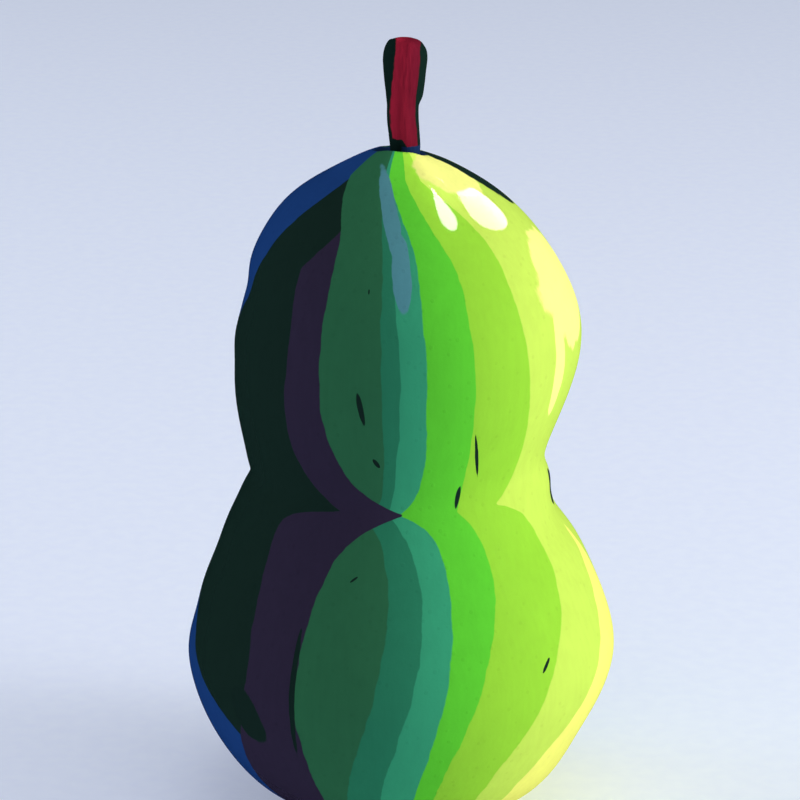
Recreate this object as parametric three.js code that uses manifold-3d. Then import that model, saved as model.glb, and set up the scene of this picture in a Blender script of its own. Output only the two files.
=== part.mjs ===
// A green pear standing on its calyx end: one fleshy body of two lobes with a waist between them, a stout woody
// stem rooted in the dimple at its top, and the dried calyx star in the hollow under it.
// Millimetres, +Z up, with -Y as the front. The origin is the middle of the flat foot that the pear stands on.

import * as THREE from "three";
import { mergeVertices } from "three/addons/utils/BufferGeometryUtils.js";
import Module from "manifold-3d";

// Driving sizes.
const BELLY_DIAMETER = 69;
const BODY_HEIGHT = 109;
const STEM_LENGTH = 18;

// The outline of the body, from the foot up. Each lobe and the waist is a radius at a height where the flank is
// upright, and below and above are how far the curve leans on that upright line.
const BELLY = { radius: BELLY_DIAMETER / 2, height: 0.253 * BODY_HEIGHT, below: 7.9, above: 11 };
const WAIST = { radius: 0.687 * BELLY.radius, height: 0.539 * BODY_HEIGHT, below: 5.9, above: 4.1 };
const SHOULDER = { radius: 0.792 * BELLY.radius, height: 0.714 * BODY_HEIGHT, below: 8.1, above: 16.1 };
const RIM = { radius: 4.4, height: BODY_HEIGHT, spread: 13.9, fall: 5.2 };
const FOOT = { inner: 7, outer: 9.2, spread: 17.6, rise: 0.85 };
const CURVE_STEPS = 8;
const BODY_SIDES = 64;

// How the fruit grew out of true.
const OVAL = 0.012;
const FOUR_SIDED = 0.006;
const FOOT_RIBS = { count: 5, depth: 0.035, height: 7 };
const LEAN = { shoulder: 1.7, shoulderHeight: 0.757 * BODY_HEIGHT, shoulderSpan: 10, waist: -0.7, waistSpan: 9 };
const TRUE_WITHIN = 5;
const GROWN_FROM = 13;

// Stem: it stands on the floor of a socket in the dimple, flares towards its head and leans with it.
const DIMPLE_DEPTH = 0.9;
const ROOT = { radius: 2.1, depth: 5, clearance: 0.3 };
const NECK = { radius: 2.45, height: 0.4 * STEM_LENGTH };
const HEAD = { radius: 3.4, height: 0.82 * STEM_LENGTH, crown: 0.6 };
const FLARE = 0.3 * (HEAD.height - NECK.height);
const STEM_FLUTES = { count: 3, depth: 0.055, fullFrom: 0.25 };
const STEM_LEAN = { side: 1, back: 0.5 };
const HEAD_SLANT = { slope: 0.16, power: 4 };
const STEM_SIDES = 24;

// Calyx: a small cup on a plug that stands in the roof of the hollow, with five dried sepals round it.
const HOLLOW_DEPTH = 4.6;
const PLUG = { radius: 2.2, height: 2, clearance: 0.3 };
const CUP = { radius: 3.1, height: 1.1 };
const SEPAL = { count: 5, from: 1.5, length: 4.7, rootHalf: 1.2, swell: 2.6, thickness: 0.7, droop: 0.7, curl: 0.15 };
const SEPAL_STEPS = 6;
const CALYX_GAP = 0.35;

const SKIN = { color: 0x9ddc42, roughness: 0.45, metalness: 0 };
const BARK = { color: 0x78182c, roughness: 0.7, metalness: 0 };
const DRIED_LEAF = { color: 0x3b2a1d, roughness: 0.85, metalness: 0 };

// Points of one surface closer than this are one point.
const WELD = 1e-3;

const wasm = await Module();
wasm.setup();

// Moves every point of a geometry by move(point).
function reshape(geometry, move) {
  const position = geometry.getAttribute("position");
  const point = new THREE.Vector3();
  for (let i = 0; i < position.count; i++) {
    point.fromBufferAttribute(position, i);
    move(point);
    position.setXYZ(i, point.x, point.y, point.z);
  }
  return geometry;
}

// A solid turned about Z from an outline of radius and height that runs from the axis below to the axis above.
function turned(outline, sides) {
  return new THREE.LatheGeometry(outline.getPoints(CURVE_STEPS), sides).rotateX(Math.PI / 2);
}

// The closed surface of a geometry as a solid for joining.
function solidOf(geometry) {
  const bare = new THREE.BufferGeometry();
  bare.setAttribute("position", geometry.getAttribute("position"));
  bare.setIndex(geometry.index);
  const merged = mergeVertices(bare, WELD);
  return new wasm.Manifold(
    new wasm.Mesh({
      numProp: 3,
      vertProperties: merged.getAttribute("position").array,
      triVerts: new Uint32Array(merged.index.array),
    }),
  );
}

// A joined solid as a geometry again.
function geometryOf(solid) {
  const mesh = solid.getMesh();
  const geometry = new THREE.BufferGeometry();
  geometry.setAttribute("position", new THREE.BufferAttribute(mesh.vertProperties, 3));
  geometry.setIndex(new THREE.BufferAttribute(mesh.triVerts, 1));
  geometry.computeVertexNormals();
  return geometry;
}

function bump(distance, span) {
  return Math.exp(-((distance / span) ** 2));
}

const stemSunk = ROOT.depth + DIMPLE_DEPTH;
const socketRadius = ROOT.radius + ROOT.clearance;
const socketMouth = RIM.height - DIMPLE_DEPTH;
const socketFloor = RIM.height - stemSunk;
const pocketRadius = PLUG.radius + PLUG.clearance;
const pocketRoof = HOLLOW_DEPTH + PLUG.height;

// Height of the hollow's roof at a radius, a quarter ellipse from the pocket to the foot.
function hollowRoof(radius) {
  const share = Math.max(0, radius - pocketRadius) / (FOOT.inner - pocketRadius);
  return HOLLOW_DEPTH * Math.sqrt(1 - Math.min(1, share) ** 2);
}

// From the pocket that holds the calyx, out over the hollow and the foot, up both lobes and into the stem's socket.
function bodyOutline() {
  const outline = new THREE.Path();
  outline.moveTo(0, pocketRoof);
  outline.lineTo(pocketRadius, pocketRoof);
  outline.lineTo(pocketRadius, HOLLOW_DEPTH);
  outline.absellipse(
    pocketRadius, 0, FOOT.inner - pocketRadius, HOLLOW_DEPTH, Math.PI / 2, 0, true, 0,
  );
  outline.lineTo(FOOT.outer, 0);
  outline.bezierCurveTo(
    FOOT.outer + FOOT.spread, FOOT.rise,
    BELLY.radius, BELLY.height - BELLY.below,
    BELLY.radius, BELLY.height,
  );
  outline.bezierCurveTo(
    BELLY.radius, BELLY.height + BELLY.above,
    WAIST.radius, WAIST.height - WAIST.below,
    WAIST.radius, WAIST.height,
  );
  outline.bezierCurveTo(
    WAIST.radius, WAIST.height + WAIST.above,
    SHOULDER.radius, SHOULDER.height - SHOULDER.below,
    SHOULDER.radius, SHOULDER.height,
  );
  outline.bezierCurveTo(
    SHOULDER.radius, SHOULDER.height + SHOULDER.above,
    RIM.radius + RIM.spread, RIM.height - RIM.fall,
    RIM.radius, RIM.height,
  );
  outline.quadraticCurveTo(socketRadius, RIM.height, socketRadius, socketMouth);
  outline.lineTo(socketRadius, socketFloor);
  outline.lineTo(0, socketFloor);
  return outline;
}

// A slightly oval fruit with five faint ribs round its foot, whose upper lobe leans to +X. Both sockets stay true.
function growOutOfTrue(point) {
  const radius = Math.hypot(point.x, point.y);
  const angle = Math.atan2(point.x, -point.y);
  const flesh = THREE.MathUtils.smoothstep(radius, TRUE_WITHIN, GROWN_FROM);
  const round = OVAL * Math.sin(2 * angle) + FOUR_SIDED * Math.sin(4 * angle);
  const nearFoot = bump(point.z, FOOT_RIBS.height);
  const ribs = FOOT_RIBS.depth * Math.cos(FOOT_RIBS.count * angle) * nearFoot;
  const outsidePocket = THREE.MathUtils.smoothstep(radius, pocketRadius, FOOT.inner);
  const growth = 1 + flesh * round + outsidePocket * ribs;
  const shoulderLean = LEAN.shoulder * bump(point.z - LEAN.shoulderHeight, LEAN.shoulderSpan);
  const waistLean = LEAN.waist * bump(point.z - WAIST.height, LEAN.waistSpan);
  point.x = point.x * growth + flesh * (shoulderLean + waistLean);
  point.y *= growth;
}

// Heights run from the stem's root, which stands on the socket's floor.
function stemOutline() {
  const top = stemSunk + STEM_LENGTH;
  const outline = new THREE.Path();
  outline.moveTo(0, 0);
  outline.lineTo(ROOT.radius, 0);
  outline.lineTo(ROOT.radius, ROOT.depth);
  outline.bezierCurveTo(
    NECK.radius, stemSunk,
    NECK.radius, stemSunk + NECK.height / 2,
    NECK.radius, stemSunk + NECK.height,
  );
  outline.bezierCurveTo(
    NECK.radius, stemSunk + NECK.height + FLARE,
    HEAD.radius, stemSunk + HEAD.height - FLARE,
    HEAD.radius, stemSunk + HEAD.height,
  );
  outline.bezierCurveTo(
    HEAD.radius, top,
    HEAD.radius * HEAD.crown, top,
    0, top,
  );
  return outline;
}

// Flutes along the bark, a lean that grows towards the head, and a head cut on a slant. The root stays straight.
function growStem(point) {
  const rise = Math.max(0, point.z - stemSunk) / STEM_LENGTH;
  const angle = Math.atan2(point.x, -point.y);
  const depth = STEM_FLUTES.depth * Math.min(1, rise / STEM_FLUTES.fullFrom);
  const flute = 1 + depth * Math.cos(STEM_FLUTES.count * angle);
  const slant = HEAD_SLANT.slope * point.x * rise ** HEAD_SLANT.power;
  point.x = point.x * flute + STEM_LEAN.side * rise;
  point.y = point.y * flute + STEM_LEAN.back * rise ** 2;
  point.z -= slant;
}

// The plug in the pocket and the cup under it.
function calyxCup() {
  const outline = new THREE.Path();
  const cupTop = HOLLOW_DEPTH - CALYX_GAP;
  outline.moveTo(0, cupTop - CUP.height / 2);
  outline.lineTo(CUP.radius / 2, cupTop - CUP.height);
  outline.quadraticCurveTo(CUP.radius, cupTop - CUP.height, CUP.radius, cupTop);
  outline.lineTo(PLUG.radius, cupTop);
  outline.lineTo(PLUG.radius, pocketRoof);
  outline.lineTo(0, pocketRoof);
  return turned(outline, 4 * SEPAL.count);
}

// One sepal along +X: a pointed blade that follows the hollow's roof, droops at its tip and curls along its edges.
function sepalBlade() {
  const middle = SEPAL.from + SEPAL.length / 2;
  const tip = SEPAL.from + SEPAL.length;
  const shape = new THREE.Shape();
  shape.moveTo(SEPAL.from, -SEPAL.rootHalf);
  shape.quadraticCurveTo(middle, -SEPAL.swell, tip, 0);
  shape.quadraticCurveTo(middle, SEPAL.swell, SEPAL.from, SEPAL.rootHalf);
  const blade = new THREE.ExtrudeGeometry(shape, {
    depth: SEPAL.thickness, bevelEnabled: false, curveSegments: SEPAL_STEPS,
  });
  return reshape(blade, (point) => {
    const along = (point.x - SEPAL.from) / SEPAL.length;
    const roof = hollowRoof(Math.hypot(point.x, point.y)) - CALYX_GAP - SEPAL.thickness;
    point.z += roof - SEPAL.droop * along ** 3 - SEPAL.curl * point.y ** 2 * along;
  });
}

function calyx() {
  let joined = solidOf(calyxCup());
  for (let i = 0; i < SEPAL.count; i++) {
    const blade = sepalBlade().rotateZ((2 * Math.PI * i) / SEPAL.count - Math.PI / 2);
    joined = joined.add(solidOf(blade));
  }
  return geometryOf(joined);
}

function piece(name, geometry, finish) {
  const mesh = new THREE.Mesh(geometry, new THREE.MeshStandardMaterial(finish));
  mesh.name = name;
  return mesh;
}

const pear = new THREE.Group();
pear.name = "pear";

pear.add(piece("pear_body", reshape(turned(bodyOutline(), BODY_SIDES), growOutOfTrue), SKIN));

const stem = piece("stem", reshape(turned(stemOutline(), STEM_SIDES), growStem), BARK);
stem.position.z = socketFloor;
pear.add(stem);

pear.add(piece("calyx", calyx(), DRIED_LEAF));

export default pear;
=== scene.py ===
"""A pear of two lobes with its stem and calyx, built round its frame and dressed for a studio picture.

Metres, +Z up, with -Y as the front. An azimuth runs from the front towards +X, in degrees, and a share of
the body's height runs from 0 at the foot to 1 at the rim of the stem's dimple.
"""

import functools
import logging
import math
from dataclasses import dataclass
from enum import Enum
from typing import Any, Callable, Optional, Sequence, Union

import bmesh
import bpy
from mathutils import Matrix, Vector, noise
from mathutils.bvhtree import BVHTree
from mathutils.geometry import interpolate_bezier


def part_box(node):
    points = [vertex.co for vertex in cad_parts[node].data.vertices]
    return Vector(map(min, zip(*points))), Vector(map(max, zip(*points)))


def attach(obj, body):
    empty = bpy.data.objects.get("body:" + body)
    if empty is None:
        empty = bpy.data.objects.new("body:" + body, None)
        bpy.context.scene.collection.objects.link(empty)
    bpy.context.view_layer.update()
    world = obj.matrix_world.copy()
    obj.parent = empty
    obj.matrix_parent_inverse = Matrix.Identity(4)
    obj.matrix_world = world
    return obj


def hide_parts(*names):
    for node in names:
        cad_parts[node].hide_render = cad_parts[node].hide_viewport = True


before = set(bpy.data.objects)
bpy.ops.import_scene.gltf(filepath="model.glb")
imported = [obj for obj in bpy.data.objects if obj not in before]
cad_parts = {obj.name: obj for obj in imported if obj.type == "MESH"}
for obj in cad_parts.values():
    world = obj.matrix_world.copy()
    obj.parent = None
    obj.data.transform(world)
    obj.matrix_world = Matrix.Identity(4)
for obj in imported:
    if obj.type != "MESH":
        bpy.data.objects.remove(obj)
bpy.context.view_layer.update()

MM = 0.001
# Vertices closer than this are one vertex.
WELD = 1e-7
# How far a Bezier handle reaches on a quarter of an ellipse, and towards the corner of a plain bend.
QUARTER_ARC = 0.5523
CORNER_SHARE = 2 / 3
FULL_CIRCLE = 360.0
# Shares of the height are rounded to so many digits, so that zone edges are worked out once for each.
SHARE_DIGITS = 4

Colour = tuple[float, float, float]
log = logging.getLogger("pear")


class Piece(Enum):
    """The pieces of the pear, each with the name of the solid that it stands for."""

    BODY = "pear_body"
    STEM = "stem"
    CALYX = "calyx"


class Slot(Enum):
    """The record's material slots."""

    SKIN = "skin"
    BARK = "bark"
    DRIED_LEAF = "dried_leaf"


class Level(Enum):
    """Heights that the colour zones are set out by, as shares of the body's height."""

    FOOT = 0.110
    BELLY = 0.275
    BREAST = 0.422
    WAIST = 0.527
    NECK = 0.606
    SHOULDER = 0.752
    DOME = 0.872
    CROWN = 0.982


def bump(distance: float, span: float) -> float:
    """A bell curve: 1 at no distance, and near 0 past twice the span."""
    return math.exp(-((distance / span) ** 2))


def smooth_step(value: float, low: float, high: float) -> float:
    """Rises smoothly from 0 at low to 1 at high."""
    share = min(1.0, max(0.0, (value - low) / (high - low)))
    return share * share * (3.0 - 2.0 * share)


def bent_line(value: float, points: Sequence[tuple[float, float]]) -> float:
    """Reads a line of straight stretches, which stays level past its two ends.

    Args:
        value: Where to read it.
        points: Its corners, each a place and a height, in rising order of place.

    Returns:
        Its height there.
    """
    if value <= points[0][0]:
        return points[0][1]
    for (start, low), (end, high) in zip(points, points[1:]):
        if value <= end:
            return low + (high - low) * (value - start) / (end - start)
    return points[-1][1]


def rounded_line(value: float, points: Sequence[tuple[float, float]], reach: float = 0.05) -> float:
    """Reads a bent line with its corners rounded off over the reach given."""
    sides = bent_line(value - reach, points) + bent_line(value + reach, points)
    return 0.5 * bent_line(value, points) + 0.25 * sides


def heading(azimuth: float) -> Vector:
    """The level unit vector that points to an azimuth."""
    turn = math.radians(azimuth)
    return Vector((math.sin(turn), -math.cos(turn), 0.0))


def azimuth_of(point: Vector) -> float:
    """The azimuth of a point round the Z axis."""
    return math.degrees(math.atan2(point.x, -point.y))


def outline_point(radius: float, height: float) -> Vector:
    """A point of an outline, which stands in the plane of X and Z."""
    return Vector((radius, 0.0, height))


def curve(start: Vector, leave: Vector, arrive: Vector, end: Vector, steps: int) -> list[Vector]:
    """The points of one Bezier stretch of an outline, without its start.

    Args:
        start: Where it begins.
        leave: The handle at its start.
        arrive: The handle at its end.
        end: Where it ends.
        steps: How many points it gives.

    Returns:
        The points after the start, the end among them.
    """
    return list(interpolate_bezier(start, leave, arrive, end, steps + 1))[1:]


def spun(outline: Sequence[Vector], sides: int) -> bmesh.types.BMesh:
    """Spins an outline about the Z axis into a closed surface.

    Args:
        outline: Its points, from the axis below to the axis above.
        sides: How many steps a full turn has.

    Returns:
        The surface, welded along its seam and at its poles.
    """
    surface = bmesh.new()
    verts = [surface.verts.new(point) for point in outline]
    edges = [surface.edges.new(pair) for pair in zip(verts, verts[1:])]
    bmesh.ops.spin(
        surface, geom=verts + edges, cent=(0, 0, 0), axis=(0, 0, 1), angle=math.tau,
        steps=sides, use_merge=True, use_duplicate=False,
    )
    bmesh.ops.remove_doubles(surface, verts=surface.verts, dist=WELD)
    bmesh.ops.recalc_face_normals(surface, faces=surface.faces)
    return surface


def reshape(surface: bmesh.types.BMesh, move: Callable[[Vector], Vector]) -> None:
    """Moves every vertex of a surface to where a rule puts it.

    Args:
        surface: The surface to move.
        move: Gives a vertex's new place from its old one.
    """
    for vert in surface.verts:
        vert.co = move(vert.co)
    surface.normal_update()


def piece_object(surface: bmesh.types.BMesh, piece: Piece) -> bpy.types.Object:
    """Makes a finished surface an object of the scene that rides on the root body in place of its solid.

    Args:
        surface: The surface, which is freed.
        piece: The piece that it is.

    Returns:
        The new object, at the origin.
    """
    for face in surface.faces:
        face.smooth = True
    mesh = bpy.data.meshes.new(piece.value + "_mesh")
    surface.to_mesh(mesh)
    surface.free()
    made = bpy.data.objects.new(piece.value + "_piece", mesh)
    bpy.context.scene.collection.objects.link(made)
    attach(made, "root")
    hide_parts(piece.value)
    return made


def vertex_values(made: bpy.types.Object, name: str, rule: Callable[[Vector], float]) -> None:
    """Keeps a number for every vertex of a piece, for its material to read.

    Args:
        made: The piece.
        name: The name that the material reads it by.
        rule: Gives the number from a vertex's place.
    """
    values = [rule(vert.co) for vert in made.data.vertices]
    kept = made.data.attributes.new(name, "FLOAT", "POINT")
    kept.data.foreach_set("value", values)


class Wire:
    """A shader socket that takes part in Python expressions, each of which adds its Math nodes."""

    def __init__(self, shader: "Shader", socket: bpy.types.NodeSocket) -> None:
        """Keeps an output socket and the shader that it belongs to."""
        self.shader = shader
        self.socket = socket

    def maths(self, operation: str, *values: Union["Wire", float]) -> "Wire":
        """Adds one Math node on the values given and returns its output."""
        return self.shader.wire("ShaderNodeMath", {"operation": operation}, dict(enumerate(values)))

    def __add__(self, other: Union["Wire", float]) -> "Wire":
        """This plus the other."""
        return self.maths("ADD", self, other)

    def __radd__(self, other: float) -> "Wire":
        """The other plus this."""
        return self.maths("ADD", other, self)

    def __sub__(self, other: Union["Wire", float]) -> "Wire":
        """This less the other."""
        return self.maths("SUBTRACT", self, other)

    def __rsub__(self, other: float) -> "Wire":
        """The other less this."""
        return self.maths("SUBTRACT", other, self)

    def __mul__(self, other: Union["Wire", float]) -> "Wire":
        """This times the other."""
        return self.maths("MULTIPLY", self, other)

    def __rmul__(self, other: float) -> "Wire":
        """The other times this."""
        return self.maths("MULTIPLY", other, self)


Value = Union[Wire, float, Sequence[float]]


class Shader:
    """A material in the making: its node tree and the principled shader at the end of it."""

    def __init__(self, name: str, constants: dict[str, Any]) -> None:
        """Starts a material.

        Args:
            name: The material's name.
            constants: What is the same all over the surface, by the principled shader's socket.
        """
        self.material = bpy.data.materials.new(name)
        self.material.use_nodes = True
        self.tree = self.material.node_tree
        self.tree.nodes.clear()
        self.principled = self.node("ShaderNodeBsdfPrincipled", {}, constants)
        output = self.node("ShaderNodeOutputMaterial", {}, {})
        self.tree.links.new(self.principled.outputs["BSDF"], output.inputs["Surface"])

    def feed(self, socket: bpy.types.NodeSocket, value: Value) -> None:
        """Links a wire to an input socket, or sets the socket's own value.

        Args:
            socket: The input.
            value: The wire, or the number or numbers.
        """
        if isinstance(value, Wire):
            self.tree.links.new(value.socket, socket)
        else:
            socket.default_value = value

    def node(self, kind: str, settings: dict[str, Any], sockets: dict[Any, Value]) -> bpy.types.Node:
        """Adds a node.

        Args:
            kind: The node's type.
            settings: Its properties, set first.
            sockets: Its inputs, by name or number.

        Returns:
            The new node.
        """
        made = self.tree.nodes.new(kind)
        for name, value in settings.items():
            setattr(made, name, value)
        for key, value in sockets.items():
            self.feed(made.inputs[key], value)
        return made

    def wire(
        self, kind: str, settings: dict[str, Any], sockets: dict[Any, Value], output: Union[int, str] = 0
    ) -> Wire:
        """Adds a node as node() does and returns one of its outputs."""
        return Wire(self, self.node(kind, settings, sockets).outputs[output])

    def place(self) -> Wire:
        """The place on the piece, in metres."""
        return self.wire("ShaderNodeTexCoord", {}, {}, "Object")

    def kept(self, name: str) -> Wire:
        """A number that the piece keeps for every vertex."""
        return self.wire("ShaderNodeAttribute", {"attribute_name": name}, {}, "Fac")

    def stretched(self, place: Wire, factors: Sequence[float]) -> Wire:
        """A place multiplied along each axis by a factor of its own."""
        return self.wire("ShaderNodeVectorMath", {"operation": "MULTIPLY"}, {0: place, 1: factors})

    def rise(self, value: Value, low: float, high: float) -> Wire:
        """A smooth rise from 0 at low to 1 at high, also where high is the lower."""
        sockets = {"Value": value, "From Min": low, "From Max": high}
        return self.wire("ShaderNodeMapRange", {"interpolation_type": "SMOOTHSTEP"}, sockets)

    def mixed(self, factor: Value, first: Value, second: Value, blend: str = "MIX") -> Wire:
        """A colour between two others.

        Args:
            factor: 0 gives the first and 1 the second.
            first: A colour or a wire of colours.
            second: A colour or a wire of colours.
            blend: The way that the second is laid on the first.

        Returns:
            The mixed colour.
        """
        first, second = ((*c, 1.0) if isinstance(c, tuple) else c for c in (first, second))
        settings = {"data_type": "RGBA", "blend_type": blend}
        # Of the node's inputs and outputs of the same names, these are the ones for colours.
        return self.wire("ShaderNodeMix", settings, {0: factor, 6: first, 7: second}, 2)

    @staticmethod
    def summed(base: float, *parts: tuple[Wire, float]) -> Wire:
        """A number plus wires that each have a weight.

        Args:
            base: The number.
            parts: Pairs of a wire and the weight that it is multiplied by.

        Returns:
            The sum.
        """
        total: Union[Wire, float] = base
        for part, weight in parts:
            total = total + part * weight
        return total

    def toned(self, colour: Wire, tone: Wire) -> Wire:
        """A colour made lighter or darker by a factor."""
        grey = self.wire("ShaderNodeCombineColor", {}, {0: tone, 1: tone, 2: tone})
        return self.mixed(1.0, colour, grey, "MULTIPLY")

    def from_centre(
        self, place: Wire, centre: Vector, turn: Sequence[float], half: Sequence[float]
    ) -> Wire:
        """How far out a place is in an egg of its own: 0 at its centre and 1 on its surface.

        Args:
            place: The place on the piece.
            centre: The middle of the egg.
            turn: Its rotation about X, Y and Z.
            half: Its half sizes.

        Returns:
            The distance.
        """
        sockets = {"Vector": place, "Location": centre, "Rotation": turn, "Scale": half}
        inside = self.wire("ShaderNodeMapping", {"vector_type": "TEXTURE"}, sockets)
        return self.length(inside)

    def length(self, vector: Wire) -> Wire:
        """The length of a vector."""
        return self.wire("ShaderNodeVectorMath", {"operation": "LENGTH"}, {0: vector}, "Value")

    def relief(self, height: Wire, depth: float) -> None:
        """Raises the surface by a height of 0 to 1 times the depth."""
        sockets = {"Height": height, "Distance": depth, "Strength": 1.0}
        self.feed(self.principled.inputs["Normal"], self.wire("ShaderNodeBump", {}, sockets))

    def dress(self, colour: Wire, roughness: Wire) -> bpy.types.Material:
        """Gives the principled shader its colour and roughness.

        Args:
            colour: The base colour.
            roughness: The roughness.

        Returns:
            The finished material.
        """
        self.feed(self.principled.inputs["Base Color"], colour)
        self.feed(self.principled.inputs["Roughness"], roughness)
        return self.material


@dataclass(frozen=True)
class Grain:
    """Noise about 0, mostly between -0.3 and 0.3, in blotches of a size.

    Where its pace along Z is below 1, the blotches are drawn out upright.
    """

    size: float
    detail: float = 2.0
    pace: float = 1.0

    def over(self, shader: Shader, place: Wire) -> Wire:
        """The noise over a piece.

        Args:
            shader: The material in the making.
            place: The place on the piece.

        Returns:
            The noise.
        """
        drawn_out = shader.stretched(place, (1.0, 1.0, self.pace))
        sockets = {"Vector": drawn_out, "Scale": 1.0 / self.size, "Detail": self.detail}
        return shader.wire("ShaderNodeTexNoise", {}, sockets) - 0.5


@dataclass(frozen=True)
class ZoneEdge:
    """Where one colour of the skin, with its painted light and shade, gives way to the next, as an azimuth
    at each named height.

    The edge runs straight over the belly, is drawn in at the waist within the two lengths of the pinch, runs
    on over the neck and the dome, and gathers towards the crown.
    """

    foot: float
    belly: float
    breast: float
    waist: float
    neck: float
    shoulder: float
    dome: float
    crown: float
    gather: float = 2.4
    pinch: float = 0.023
    pinch_below: float = 0.023

    def azimuth_at(self, share: float) -> float:
        """Where the edge lies at a height.

        Args:
            share: The height as a share of the body's.

        Returns:
            The edge's azimuth.
        """
        lower = (
            (Level.FOOT.value, self.foot),
            (Level.BELLY.value, self.belly),
            (Level.BREAST.value, self.breast),
        )
        upper = (
            (Level.NECK.value, self.neck),
            (Level.SHOULDER.value, self.shoulder),
            (Level.DOME.value, self.dome),
        )
        above = share - Level.WAIST.value
        plain = rounded_line(share, upper if above > 0 else lower)
        to_crown = bent_line(share, ((Level.DOME.value, 0.0), (Level.CROWN.value, 1.0)))
        plain += (self.crown - self.dome) * to_crown**self.gather
        pull = math.exp(-abs(above) / (self.pinch if above > 0 else self.pinch_below))
        return plain + (self.waist - plain) * pull


@dataclass(frozen=True, eq=False)
class ZoneRun:
    """A run of colour zones, which paint light and shade on the skin, told apart by the edges between them
    in order from the lit side.
    """

    edges: tuple[ZoneEdge, ...]
    painted_lit_azimuth: float = 85.0
    reach: float = 10.0

    @functools.lru_cache(maxsize=None)
    def turns_at(self, share: float) -> tuple[float, ...]:
        """Where the edges lie at a height.

        Args:
            share: The height as a share of the body's.

        Returns:
            How far each edge is turned away from the painted lit side, in rising order.
        """
        turns: list[float] = []
        for edge in self.edges:
            turn = self.painted_lit_azimuth - edge.azimuth_at(share)
            turns.append(max([turn, *turns[-1:]]))
        return tuple(turns)

    def past(self, number: int, share: float, azimuth: float) -> float:
        """How far a place on the skin is past one of the edges.

        Args:
            number: Which edge, counted from 0.
            share: The place's share of the body's height.
            azimuth: The place's azimuth.

        Returns:
            A number that is 0 on the edge and grows by 1 over the reach.
        """
        half = FULL_CIRCLE / 2
        turn = abs((azimuth - self.painted_lit_azimuth + half) % FULL_CIRCLE - half)
        return (turn - self.turns_at(round(share, SHARE_DIGITS))[number]) / self.reach


@dataclass(frozen=True)
class PaintedLightAndShade:
    """Painted light and shade on the skin: the zones of the lit side, those of the shaded side, and the
    border where the shaded ones begin.
    """

    painted_lit: ZoneRun = ZoneRun((
        # Pale yellow to yellow
        ZoneEdge(37, 66.5, 84, 125, 125, 125, 125, 125),
        # Yellow to lime
        ZoneEdge(24, 42, 59, 40, 50.5, 39.5, 41.5, 18, 2.6),
        # Lime to green
        ZoneEdge(9.5, 20, 31.5, 23, 25.5, 20, 22, 5, 1.5),
        # Green to light teal
        ZoneEdge(3.5, 11.5, 16.5, 1, 9.5, 4.5, 6.3, -10.5, 2.6),
        # Light teal to teal
        ZoneEdge(-7, 2.7, 8.7, -3, -0.3, -3.8, -3.3, -14.5, 2.0, pinch_below=0.045),
        # Teal to dark green
        ZoneEdge(-17.5, -6.5, -3, -14, -4.5, -11, -7.5, -14.5, pinch=0.01, pinch_below=0.028),
    ))
    # The border where the painted shade begins, which comes round to the front in the waist's crease.
    border: ZoneRun = ZoneRun((ZoneEdge(-26, -29.5, -28, 3, -26, -33.5, -27, -53, 2.6, 0.041, 0.041),))
    shaded: ZoneRun = ZoneRun((
        # Aubergine to near-black green
        ZoneEdge(-54, -45, -49, -21, -46, -45.5, -43, -16, 1.0, 0.055, 0.012),
        # Near-black green to navy
        ZoneEdge(-32, -74, -105, -150, -150, -86, -66, -50, 1.6, 0.041, 0.041),
    ))


@dataclass(frozen=True)
class Turn:
    """A height where the flank stands upright, with how far the outline keeps to it below and above."""

    radius: float
    height: float
    below: float
    above: float


@dataclass(frozen=True)
class Swelling:
    """A place where the flesh stands out a little, or in where the amount is negative."""

    azimuth: float
    height: float
    amount: float
    half_azimuth: float
    half_height: float

    def at(self, azimuth: float, height: float) -> float:
        """How far it moves the flank.

        Args:
            azimuth: The azimuth of a place on the flank.
            height: The height of that place.

        Returns:
            The distance outwards.
        """
        half = FULL_CIRCLE / 2
        apart = (azimuth - self.azimuth + half) % FULL_CIRCLE - half
        return self.amount * bump(apart, self.half_azimuth) * bump(height - self.height, self.half_height)


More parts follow.
